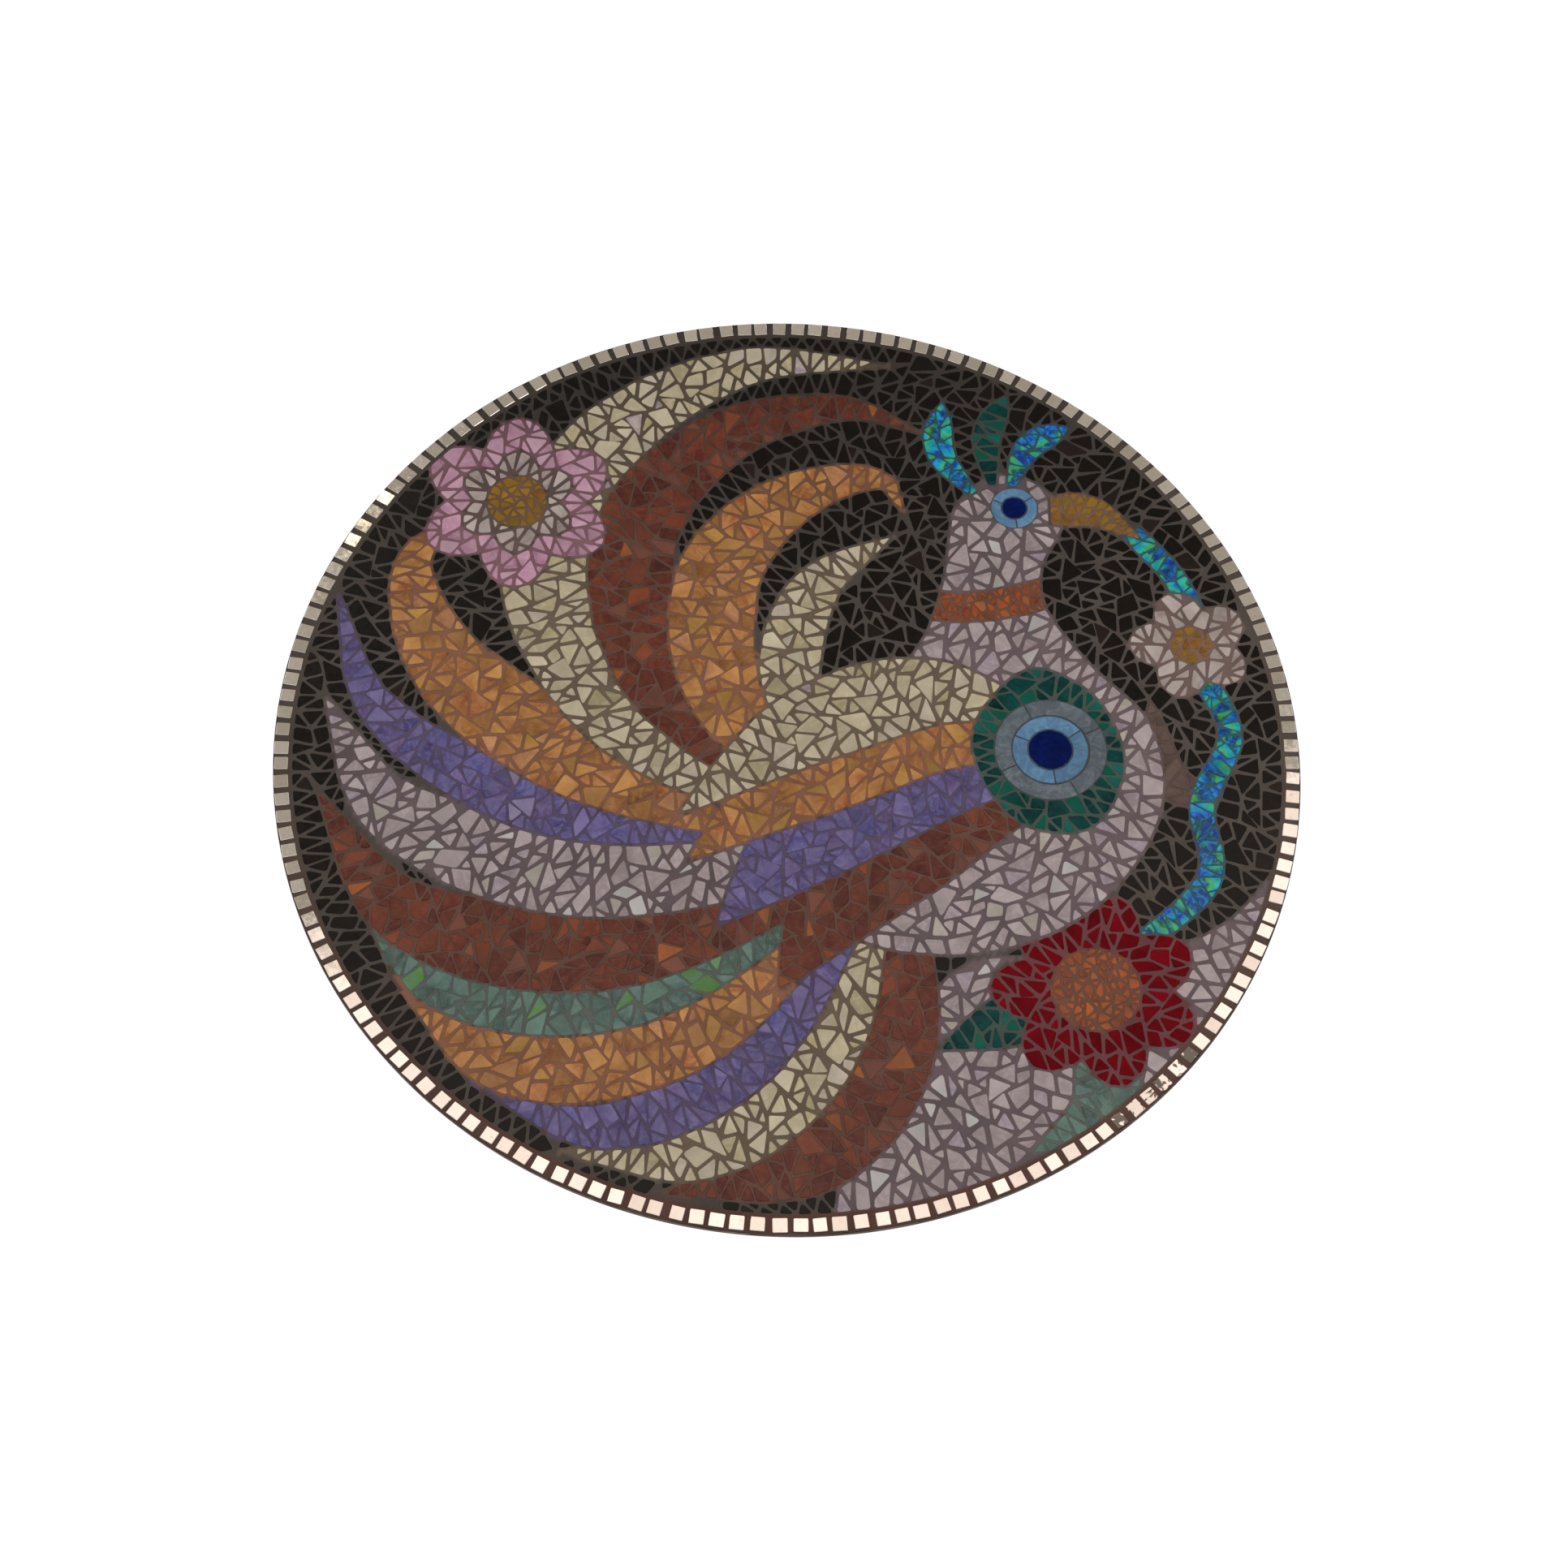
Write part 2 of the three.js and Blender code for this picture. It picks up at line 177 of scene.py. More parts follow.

# Each glass: the colours that its tiles are cut from, with their shares, the colour of its streaks, how much
# they show, how far the colour flows on within a tile, the grout's colour there, the size of a tile with its
# joint in square millimetres or the number of arcs that a ring is cut into, the joint in millimetres, and the
# roughness. Some also have their own index of refraction, range of tones, share of joined pairs, or painted
# shade that darkens the grout towards the top.
GLASS = {
    "black": dict(
        cuts=[(0.88, 0x080605), (0.08, 0x120E0C), (0.04, 0x211917)],
        streak=0x14110F, show=0.4, flow=0.0, grout=0x4A4541, tile=150, joint=2.2, rough=0.2,
        # Its grout gets stronger painted shade towards the top.
        ior=1.27, top_painted_shade=0.6, pairs=0.2,
    ),
    "pearl": dict(
        cuts=[
            (0.46, 0xA0969A), (0.25, 0xAEA5A9), (0.14, 0x968A92), (0.07, 0x9C90A0),
            (0.05, 0xA9A59E), (0.03, 0xB8BABC),
        ],
        streak=0xBFB7BC, show=0.5, flow=0.0, grout=0x63575D, tile=158, joint=2.7, rough=0.2,
        vary=0.12,
    ),
    "cream": dict(
        cuts=[(0.45, 0xB4AD93), (0.3, 0xBFB9A2), (0.14, 0xA79F7E), (0.09, 0xB4AEA0), (0.02, 0x9A8E9C)],
        streak=0xCCC6B0, show=0.5, flow=0.0, grout=0x685C4E, tile=150, joint=2.4, rough=0.2,
        vary=0.13,
    ),
    "copper": dict(
        cuts=[
            (0.3, 0x905C2D), (0.22, 0x9D6A36), (0.15, 0x8A4C28), (0.12, 0xA97B42),
            (0.1, 0x8E604E), (0.06, 0xA07C32), (0.03, 0x965030), (0.02, 0x5E3218),
        ],
        streak=0xC0905A, show=0.6, flow=0.5, grout=0x845C46, tile=152, joint=2.2, rough=0.2,
        vary=0.27,
    ),
    "brown": dict(
        cuts=[
            (0.34, 0x522019), (0.2, 0x5E2A1C), (0.16, 0x451613), (0.12, 0x6C3828),
            (0.08, 0x6C463C), (0.07, 0x7A3C22), (0.03, 0x96582A),
        ],
        streak=0x7C4432, show=0.5, flow=0.25, grout=0x62463C, tile=152, joint=1.9, rough=0.24,
        vary=0.24,
    ),
    "purple": dict(
        cuts=[
            (0.28, 0x4A437D), (0.2, 0x554D85), (0.16, 0x413A76), (0.14, 0x564478),
            (0.1, 0x424488), (0.1, 0x645C90), (0.02, 0x8E86A8),
        ],
        streak=0x7C76A6, show=0.65, flow=0.4, grout=0x564C6A, tile=150, joint=1.6, rough=0.24,
        vary=0.2,
    ),
    "red": dict(
        cuts=[(0.5, 0x640110), (0.3, 0x700313), (0.2, 0x54020C)],
        streak=0x800619, show=0.4, flow=0.15, grout=0x643C40, tile=130, joint=2.1, rough=0.14,
        ior=1.12,
    ),
    "ember": dict(
        cuts=[(0.35, 0x7C4028), (0.2, 0x8A4628), (0.2, 0x6E3222), (0.13, 0x865A40), (0.12, 0xA2521E)],
        streak=0xB25E2C, show=0.6, flow=0.4, grout=0x6A483A, tile=44, joint=1.6, rough=0.15,
    ),
    "teal": dict(
        cuts=[(0.33, 0x042D2E), (0.22, 0x063A38), (0.21, 0x042124), (0.14, 0x07604C), (0.1, 0x186A5E)],
        streak=0x185452, show=0.5, flow=0.35, grout=0x3E4E4A, tile=130, joint=2.0, rough=0.16,
        ior=1.16,
    ),
    "sage": dict(
        cuts=[
            (0.28, 0x3A5652), (0.24, 0x446260), (0.18, 0x304844), (0.16, 0x56766E),
            (0.09, 0x4E6E60), (0.05, 0x4E8830),
        ],
        streak=0x6C8C84, show=0.55, flow=0.4, grout=0x5A625E, tile=145, joint=1.7, rough=0.2,
        vary=0.22,
    ),
    "opal": dict(
        cuts=[
            (0.17, 0x0A30B0), (0.15, 0x0650D0), (0.15, 0x0A86B8), (0.13, 0x10A89C),
            (0.11, 0x4CB04C), (0.1, 0x1E6034), (0.19, 0x0A3C96),
        ],
        streak=0x30C8E0, show=0.55, flow=0.7, grout=0x2E5866, tile=98, joint=1.15, rough=0.1,
    ),
    "white": dict(
        cuts=[(0.45, 0xA49B99), (0.3, 0xB1A8A7), (0.25, 0x918684)],
        streak=0xBEB7B5, show=0.6, flow=0.35, grout=0x665654, tile=128, joint=2.4, rough=0.14,
    ),
    "pink": dict(
        cuts=[(0.4, 0xAC809E), (0.3, 0xB68EAA), (0.16, 0x9C6E8E), (0.14, 0xBE9EB4)],
        streak=0xC8A6BA, show=0.6, flow=0.4, grout=0x86626F, tile=128, joint=2.1, rough=0.2,
    ),
    "gold": dict(
        cuts=[(0.4, 0x7F5E10), (0.25, 0x8B6812), (0.2, 0x6A581A), (0.15, 0x7A4C1B)],
        streak=0x9B782C, show=0.5, flow=0.35, grout=0x785C4C, tile=56, joint=1.5, rough=0.16,
    ),
    "taupe": dict(
        cuts=[(0.6, 0x544240), (0.4, 0x5E4C47)],
        streak=0x695955, show=0.5, flow=0.3, grout=0x58463F, tile=160, joint=1.4, rough=0.3,
    ),
    "steel_blue": dict(
        cuts=[(1.0, 0x5C6A76)],
        streak=0x7C8A94, show=0.8, flow=0.0, grout=0x3A4248, arcs=4, joint=0.9, rough=0.14,
    ),
    "sky_blue": dict(
        cuts=[(1.0, 0x547EA4)],
        streak=0x72A0C4, show=0.6, flow=0.0, grout=0x3A4A58, arcs=3, joint=0.9, rough=0.1,
    ),
    "deep_blue": dict(
        cuts=[(1.0, 0x021450)],
        streak=0x08206A, show=0.5, flow=0.0, grout=0x1C2440, arcs=1, joint=0.9, rough=0.08,
        ior=1.15,
    ),
}
CARRIERS = ("backing_board", "adhesive_coat", "mirror_row")
glass_of = {
    part["node"]: part["material_slot"]
    for part in frame["record"]["subparts"]
    if part["node"] not in CARRIERS
}


# Outlines

def front_loops(node):
    """The closed outlines of an area's front face, as arrays of (x, z)."""
    mesh = frame["nodes"][node].data
    mesh.calc_loop_triangles()
    front = min(v.co.y for v in mesh.vertices)
    after = {}
    for triangle in mesh.loop_triangles:
        corners = [mesh.vertices[i].co for i in triangle.vertices]
        if any(co.y > front + 0.1 * MM for co in corners):
            continue
        keys = [(round(co.x, 6), round(co.z, 6)) for co in corners]
        for a, b in zip(keys, keys[1:] + keys[:1]):
            if a in after.get(b, ()):
                after[b].remove(a)
            else:
                after.setdefault(a, []).append(b)
    loops = []
    while any(after.values()):
        start = next(k for k, v in after.items() if v)
        loop = [start]
        while True:
            following = after[loop[-1]].pop()
            if following == start:
                break
            loop.append(following)
        loops.append(np.array(loop))
    return loops


def turns(points):
    """How far the outline turns at each of its points, in radians."""
    before = points - np.roll(points, 1, axis=0)
    after = np.roll(points, -1, axis=0) - points
    cross = before[:, 0] * after[:, 1] - before[:, 1] * after[:, 0]
    return np.abs(np.arctan2(cross, (before * after).sum(1)))


def divided(points, step):
    """The outline with its sharp corners kept and the stretches between them divided evenly."""
    corners = np.flatnonzero(turns(points) > SHARP_TURN)
    if len(corners) == 0:
        corners = np.array([0])
    out = []
    count = len(points)
    for i, first in enumerate(corners):
        last = corners[(i + 1) % len(corners)]
        if last <= first:
            last += count
        run = points[np.arange(first, last + 1) % count]
        lengths = np.linalg.norm(np.diff(run, axis=0), axis=1)
        along = np.concatenate([[0], np.cumsum(lengths)])
        parts = max(1, round(along[-1] / step))
        if len(corners) == 1:
            parts = max(parts, FEWEST_PARTS)
        places = np.linspace(0, along[-1], parts + 1)[:-1]
        out.extend(zip(np.interp(places, along, run[:, 0]), np.interp(places, along, run[:, 1])))
    return np.array(out)


def inside(points, loops):
    """Which of the points lie within the outlines, holes left out."""
    within = np.zeros(len(points), bool)
    x, z = points[:, 0], points[:, 1]
    for loop in loops:
        for (ax, az), (bx, bz) in zip(loop, np.roll(loop, -1, axis=0)):
            if az == bz:
                continue
            crosses = (az > z) != (bz > z)
            within ^= crosses & (x < (bx - ax) * (z - az) / (bz - az) + ax)
    return within


def from_outline(points, loops):
    """How far each point is from the nearest outline."""
    nearest = np.full(len(points), np.inf)
    for loop in loops:
        for a, b in zip(loop, np.roll(loop, -1, axis=0)):
            edge = b - a
            share = np.clip(((points - a) @ edge) / max(edge @ edge, 1e-12), 0, 1)
            nearest = np.minimum(nearest, np.linalg.norm(points - (a + share[:, None] * edge), axis=1))
    return nearest


# Laying the tiles

def scattered(loops, spacing, rng):
    """Points spread unevenly over the area, clear of each other and of its outline."""
    low = np.min([loop.min(0) for loop in loops], axis=0)
    high = np.max([loop.max(0) for loop in loops], axis=0)
    cell = spacing * SCATTER_CELL
    columns = np.arange(low[0], high[0], cell)
    rows = np.arange(low[1], high[1], cell)
    points = np.stack(np.meshgrid(columns, rows), -1).reshape(-1, 2)
    points = points + rng.uniform(-cell / 2, cell / 2, points.shape)
    points = points[inside(points, loops)]
    if len(points) == 0:
        return points
    points = points[from_outline(points, loops) > spacing * RIM_CLEARANCE]
    rng.shuffle(points)
    kept = np.concatenate(loops)
    first = len(kept)
    for p in points:
        if np.min(np.linalg.norm(kept - p, axis=1)) > spacing * rng.uniform(*SPACING):
            kept = np.vstack([kept, p])
    return kept[first:]


def triangles(loops, points):
    """The area cut into triangles, as index triples, with all their points and the pairs on its outline."""
    edges = []
    start = 0
    for loop in loops:
        count = len(loop)
        edges.extend((start + i, start + (i + 1) % count) for i in range(count))
        start += count
    every = np.vstack([*loops, points]) if len(points) else np.vstack(loops)
    coords = [Vector(p) for p in every / MM]
    found, _, faces, origins, _, _ = delaunay_2d_cdt(coords, edges, [], 0, 1e-4)
    found = np.array([(v.x, v.y) for v in found]) * MM
    place = {}
    for new, olds in enumerate(origins):
        for old in olds:
            place[old] = new
    rim = {frozenset((place[a], place[b])) for a, b in edges}
    centres = np.array([found[list(face)].mean(0) for face in faces])
    kept = [list(face) for face, held in zip(faces, inside(centres, loops)) if held]
    return [face if area_of(found[face]) > 0 else face[::-1] for face in kept], found, rim


def area_of(points):
    """The area of a polygon, positive where its points run anticlockwise."""
    total = 0.0
    x, z = points[-1]
    for nx, nz in points:
        total += x * nz - nx * z
        x, z = nx, nz
    return total / 2


def bends(points):
    """The turn at each corner of a polygon, in radians, positive to the left."""
    out = []
    count = len(points)
    for i in range(count):
        (ax, az), (bx, bz), (cx, cz) = points[i - 1], points[i], points[(i + 1) % count]
        ux, uz, vx, vz = bx - ax, bz - az, cx - bx, cz - bz
        out.append(math.atan2(ux * vz - uz * vx, ux * vx + uz * vz))
    return out


def neighbours(faces):
    """The points that each point shares an edge with."""
    near = {}
    for face in faces:
        for a, b in zip(face, face[1:] + face[:1]):
            near.setdefault(a, set()).add(b)
            near.setdefault(b, set()).add(a)
    return near


def evened(loops, points):
    """The scattered points moved towards the middle of their neighbours, so that the triangles are fuller."""
    for _ in range(EVENING):
        faces, found, rim = triangles(loops, points)
        fixed = set().union(*rim)
        moved = [
            found[v] * (1 - EVENED_SHARE) + found[sorted(around)].mean(0) * EVENED_SHARE
            for v, around in sorted(neighbours(faces).items())
            if v not in fixed
        ]
        if not moved:
            break
        points = np.array(moved)
    return points


def joined(faces, points, target, pairs, rng):
    """Some pairs of triangles joined into well-shaped four-sided tiles, first where many tiles meet."""
    owner = {}
    for i, face in enumerate(faces):
        for a, b in zip(face, face[1:] + face[:1]):
            owner[a, b] = i
    edges = sorted(edge for edge in owner if edge[0] < edge[1] and edge[::-1] in owner)
    near = neighbours(faces)
    crowd = {(a, b): len(near[a]) + len(near[b]) + rng.uniform(0, CROWD_CHANCE) for a, b in edges}
    edges.sort(key=lambda edge: -crowd[edge])
    used = set()
    out = []
    for a, b in edges:
        i, j = owner[a, b], owner[b, a]
        if len(used) > pairs * len(faces):
            break
        if i in used or j in used:
            continue
        p = next(v for v in faces[i] if v not in (a, b))
        q = next(v for v in faces[j] if v not in (a, b))
        quad = [int(v) for v in (p, a, q, b)]
        corners = points[quad]
        sides = np.linalg.norm(corners - np.roll(corners, -1, axis=0), axis=1)
        if min(bends(corners)) < LEAST_BEND or sides.max() > LONGEST_SIDE * sides.min():
            continue
        if area_of(corners) > LARGEST_PAIR * target:
            continue
        used.update((i, j))
        out.append(quad)
    return out + [face for i, face in enumerate(faces) if i not in used]


def slips(faces, points, rim, rng):
    """How far each corner of a tile slips along a joint where many tiles meet.

    A straight run of two joints through the point stays, and the tiles on its two sides slip apart along it,
    so that their joints end against it at different places.
    """
    fixed = set().union(*rim)
    around = {}
    for i, face in enumerate(faces):
        for k, v in enumerate(face):
            around.setdefault(v, {})[face[(k + 1) % len(face)]] = (i, face[k - 1])
    out = {}
    for v, fan in sorted(around.items()):
        if v in fixed or len(fan) < 4:
            continue
        order = [min(fan)]
        while len(order) < len(fan):
            order.append(fan[order[-1]][1])
        count = len(order)
        ways = points[order] - points[v]
        lengths = np.linalg.norm(ways, axis=1)
        ways /= lengths[:, None]
        runs = []
        for a in range(count):
            for b in range(a + 2, count):
                if count - (b - a) >= 2:
                    uneven = abs(2 * (b - a) - count)
                    straight = -float(ways[a] @ ways[b])
                    runs.append((straight - UNEVEN_SIDES * uneven + rng.uniform(0, RUN_CHANCE), a, b))
        straight, a, b = max(runs)
        if straight < STRAIGHT_RUN:
            continue
        move = {end: rng.uniform(*SLIP) * lengths[end] * ways[end] for end in (a, b)}
        for k in range(count):
            out[fan[order[k]][0], v] = move[a if a <= k < b else b]
    return out


def clipped(polygon, start, direction, distance):
    """The part of a convex polygon that lies further than distance to the left of a line."""
    normal = np.array([-direction[1], direction[0]])
    heights = (polygon - start) @ normal - distance
    out = []
    for i in range(len(polygon)):
        j = (i + 1) % len(polygon)
        if heights[i] >= 0:
            out.append(polygon[i])
        if (heights[i] >= 0) != (heights[j] >= 0):
            share = heights[i] / (heights[i] - heights[j])
            out.append(polygon[i] + share * (polygon[j] - polygon[i]))
    return np.array(out)


def rim_share(a, b):
    """The share of a joint left along an area's outline: less beside the mirror row, which has a margin."""
    beside_row = min(np.linalg.norm(a), np.linalg.norm(b)) > ROW_INNER_RADIUS - BESIDE_ROW
    return OUTER_SHARE if beside_row else RIM_SHARE


def trimmed(corners, on_rim, joint, smallest, rng):
    """A tile's outline: its place in the lay, less its half of the joints all round."""
    tile = corners
    extra = rng.uniform(*JOINT_EXTRA)
    for k, fixed in enumerate(on_rim):
        a, b = corners[k], corners[(k + 1) % len(corners)]
        lean = 0.0 if fixed else math.radians(rng.uniform(-JOINT_LEAN, JOINT_LEAN))
        half = joint * (rim_share(a, b) if fixed else rng.uniform(*JOINT_SHARE) + extra)
        turn = np.array([[math.cos(lean), -math.sin(lean)], [math.sin(lean), math.cos(lean)]])
        tile = clipped(tile, (a + b) / 2, turn @ (b - a) / np.linalg.norm(b - a), half)
        if len(tile) < 3:
            return None
    return tile if area_of(tile) > smallest else None


def lay(area, recipe, rng):
    """The outlines of an area's tiles."""
    target = recipe["tile"] * MM * MM
    pairs = recipe.get("pairs", PAIRED)
    side = SIDE * math.sqrt(target * (1 - pairs / 2) / math.sqrt(3))
    loops = [divided(loop, RIM_STEP * side) for loop in front_loops(area)]
    faces, points, rim = triangles(loops, evened(loops, scattered(loops, side, rng)))
    faces = joined(faces, points, target, pairs, rng)
    moves = slips(faces, points, rim, rng)
    tiles = []
    for i, face in enumerate(faces):
        corners = np.array([points[v] + moves.get((i, v), 0.0) for v in face])
        on_rim = [frozenset(pair) in rim for pair in zip(face, face[1:] + face[:1])]
        tile = trimmed(corners, on_rim, recipe["joint"] * MM, SMALLEST_SHARE * target, rng)
        if tile is not None:
            tiles.append(tile)
    return tiles


def smooth_pieces(area, arcs, joint):
    """A disc or ring of smooth glass, in as many pieces as it has arcs."""
    loops = front_loops(area)
    loops.sort(key=lambda loop: -abs(area_of(loop)))
    centre = (loops[0].max(0) + loops[0].min(0)) / 2
    outer = np.linalg.norm(loops[0] - centre, axis=1).mean() - joint / 2
    if len(loops) == 1:
        turn = np.linspace(0, 2 * math.pi, DISC_SEGMENTS, endpoint=False)
        return [centre + outer * np.stack([np.cos(turn), np.sin(turn)], 1)]
    inner = np.linalg.norm(loops[1] - centre, axis=1).mean() + joint / 2
    pieces = []
    for k in range(arcs):
        first = 2 * math.pi * (k + ARC_START) / arcs
        last = 2 * math.pi * (k + 1 + ARC_START) / arcs
        sides = []
        for radius, way in ((outer, 1), (inner, -1)):
            gap = joint / 2 / radius
            turn = np.linspace(first + gap, last - gap, ARC_SEGMENTS)[::way]
            sides.append(centre + radius * np.stack([np.cos(turn), np.sin(turn)], 1))
        pieces.append(np.vstack(sides))
    return pieces


# Meshes

def rounded(polygon, cut, rng):
    """A polygon with its corners rounded by hand, more so where they are sharp."""
    out = []
    count = len(polygon)
    for i in range(count):
        corner = polygon[i]
        back = polygon[i - 1] - corner
        on = polygon[(i + 1) % count] - corner
        lengths = np.linalg.norm(back), np.linalg.norm(on)
        sharp = (back @ on) / max(lengths[0] * lengths[1], 1e-12)
        reach = cut * (1 + SHARP_CORNER_CUT * max(sharp, 0)) * rng.uniform(*CORNER_SPREAD)
        a = corner + back * min(reach / lengths[0], LARGEST_CUT)
        b = corner + on * min(reach / lengths[1], LARGEST_CUT)
        for t in (0, 1 / 3, 2 / 3, 1):
            out.append((1 - t) ** 2 * a + 2 * t * (1 - t) * corner + t**2 * b)
    return np.array(out)


def inset(ring, distance):
    """A closed anticlockwise line moved inwards."""
    along = np.roll(ring, -1, axis=0) - np.roll(ring, 1, axis=0)
    along /= np.maximum(np.linalg.norm(along, axis=1, keepdims=True), 1e-9)
    return ring + distance * np.stack([-along[:, 1], along[:, 0]], 1)


def add_tile(store, ring, rng, tilt=TILE_TILT, painted_reflection=None):
    """Adds one tile to the store: sides out of the grout, an eased edge and a flat top that leans a little.

    Each point keeps two colours: three chances that the whole tile shares, and its own place across the tile.
    For a mirror tile the third chance says how much painted dark reflection it gets.
    """
    centre = (ring.max(0) + ring.min(0)) / 2
    lean = rng.uniform(-tilt, tilt, 2)
    heading = rng.uniform(0, 2 * math.pi)
    turn = np.array([[math.cos(heading), math.sin(heading)], [-math.sin(heading), math.cos(heading)]])
    reach = np.linalg.norm(ring - centre, axis=1).max()
    lean *= min(1.0, LARGEST_DROP / (np.linalg.norm(lean) * reach))
    sink = TILE_SINK * rng.random() + np.linalg.norm(lean) * reach
    inner = inset(ring, TILE_EDGE)
    chances = (*rng.random(2), rng.random() if painted_reflection is None else painted_reflection, 1.0)
    count = len(ring)
    base = len(store["points"])
    for points, drop in ((ring, None), (ring, TILE_EDGE), (inner, 0.0)):
        for p in points:
            y = TILE_ROOT if drop is None else FRONT + sink + (p - centre) @ lean + drop
            store["points"].append((p[0], y, p[1]))
            across = 0.5 + 0.5 * (turn @ (p - centre)) / reach
            store["colours"].append(chances)
            store["places"].append((*across, 0.0, 1.0))
    for i in range(count):
        j = (i + 1) % count
        for layer in (0, count):
            a, b = base + layer + i, base + layer + j
            store["faces"].append((a, b, b + count, a + count))
    store["faces"].append(tuple(base + 2 * count + i for i in range(count)))


def new_store():
    return {"points": [], "faces": [], "colours": [], "places": []}


def piece(name, store, material, nodes):
    """A piece of the object from a store, which stands for the named nodes of the model."""
    mesh = bpy.data.meshes.new(name)
    mesh.from_pydata(store["points"], [], store["faces"])
    for label, values in (("tile", store["colours"]), ("across", store["places"])):
        if values:
            attribute = mesh.color_attributes.new(label, "FLOAT_COLOR", "POINT")
            attribute.data.foreach_set("color", np.array(values, np.float32).ravel())
    mesh.validate()
    mesh.materials.append(material)
    obj = bpy.data.objects.new(name, mesh)
    bpy.context.scene.collection.objects.link(obj)
    if nodes:
        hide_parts(*nodes)
    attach(obj, "root")
    return obj


def lathed(rings, segments):
    """A store with rings of (radius, y) round the Y axis, closed flat at the first and the last."""
    store = new_store()
    for r, y in rings:
        for i in range(segments):
            a = 2 * math.pi * i / segments
            store["points"].append((r * math.cos(a), y, r * math.sin(a)))
    for k in range(len(rings) - 1):
        for i in range(segments):
            j = (i + 1) % segments
            a, b = k * segments, (k + 1) * segments
            store["faces"].append((a + i, b + i, b + j, a + j))
    last = (len(rings) - 1) * segments
    store["faces"].append(tuple(range(segments)))
    store["faces"].append(tuple(last + i for i in reversed(range(segments))))
    return store


# Materials

def linear(hex_colour):
    """A colour given as sRGB 0xRRGGBB, as the linear RGBA that shaders take."""
    out = []
    for shift in (16, 8, 0):
        v = ((hex_colour >> shift) & 255) / 255
        out.append(v / 12.92 if v <= 0.04045 else ((v + 0.055) / 1.055) ** 2.4)
    return (*out, 1.0)


def grey(value):
    return (value, value, value, 1.0)


def shader(name):
    material = bpy.data.materials.new(name)
    material.use_nodes = True
    tree = material.node_tree
    return material, tree, tree.nodes["Principled BSDF"]


def feed(tree, socket, value):
    """Gives a socket its value, or a link where the value is another socket."""
    if isinstance(value, bpy.types.NodeSocket):
        tree.links.new(value, socket)
    else:
        socket.default_value = value


def node(tree, kind, inputs=None, **settings):
    made = tree.nodes.new(kind)
    for key, value in settings.items():
        setattr(made, key, value)
    for key, value in (inputs or {}).items():
        feed(tree, made.inputs[key], value)
    return made


def mixed(tree, factor, first, second, blend="MIX"):
    made = node(tree, "ShaderNodeMix", data_type="RGBA", blend_type=blend)
    for index, value in ((0, factor), (6, first), (7, second)):
        feed(tree, made.inputs[index], value)
    return made.outputs[2]


def times(tree, first, second):
    return mixed(tree, 1.0, first, second, "MULTIPLY")


def maths(tree, operation, *values):
    return node(tree, "ShaderNodeMath", dict(enumerate(values)), operation=operation).outputs[0]


def vector_maths(tree, operation, *values):
    return node(tree, "ShaderNodeVectorMath", dict(enumerate(values)), operation=operation).outputs[0]


def mapped(tree, value, low, high, top=1.0, **settings):
    """The value's way from low to high, as 0 to top."""
    inputs = {0: value, 1: low, 2: high, 3: 0.0, 4: top}
    return node(tree, "ShaderNodeMapRange", inputs, **settings).outputs[0]


def noise(tree, vector, scale, detail, distortion=0.0):
    inputs = {"Vector": vector, "Scale": scale, "Detail": detail, "Distortion": distortion, "Roughness": 0.55}
    return node(tree, "ShaderNodeTexNoise", inputs).outputs["Fac"]


def ramp(tree, factor, stops, interpolation="LINEAR"):
    made = node(tree, "ShaderNodeValToRGB", {"Fac": factor})
    made.color_ramp.interpolation = interpolation
    elements = made.color_ramp.elements
    while len(elements) < len(stops):
        elements.new(1.0)
    for element, (place, colour) in zip(elements, stops):
        element.position = place
        element.color = colour
    return made.outputs["Color"]


def greys(tree, factor, *stops):
    """A ramp of greys, with each stop as its place and its value."""
    return ramp(tree, factor, [(place, grey(value)) for place, value in stops])


def kept_colour(tree, label):
    """A colour kept at the points of the mesh."""
    return node(tree, "ShaderNodeVertexColor", layer_name=label).outputs["Color"]


def parted(tree, colour):
    return node(tree, "ShaderNodeSeparateColor", {"Color": colour}).outputs


def object_place(tree):
    return node(tree, "ShaderNodeTexCoord").outputs["Object"]


def stretched(tree, vector, scale):
    return node(tree, "ShaderNodeMapping", {"Vector": vector, "Scale": scale}).outputs[0]


def bumped(tree, bsdf, height, strength, distance):
    inputs = {"Strength": strength, "Distance": distance, "Height": height}
    bump = node(tree, "ShaderNodeBump", inputs)
    tree.links.new(bump.outputs["Normal"], bsdf.inputs["Normal"])


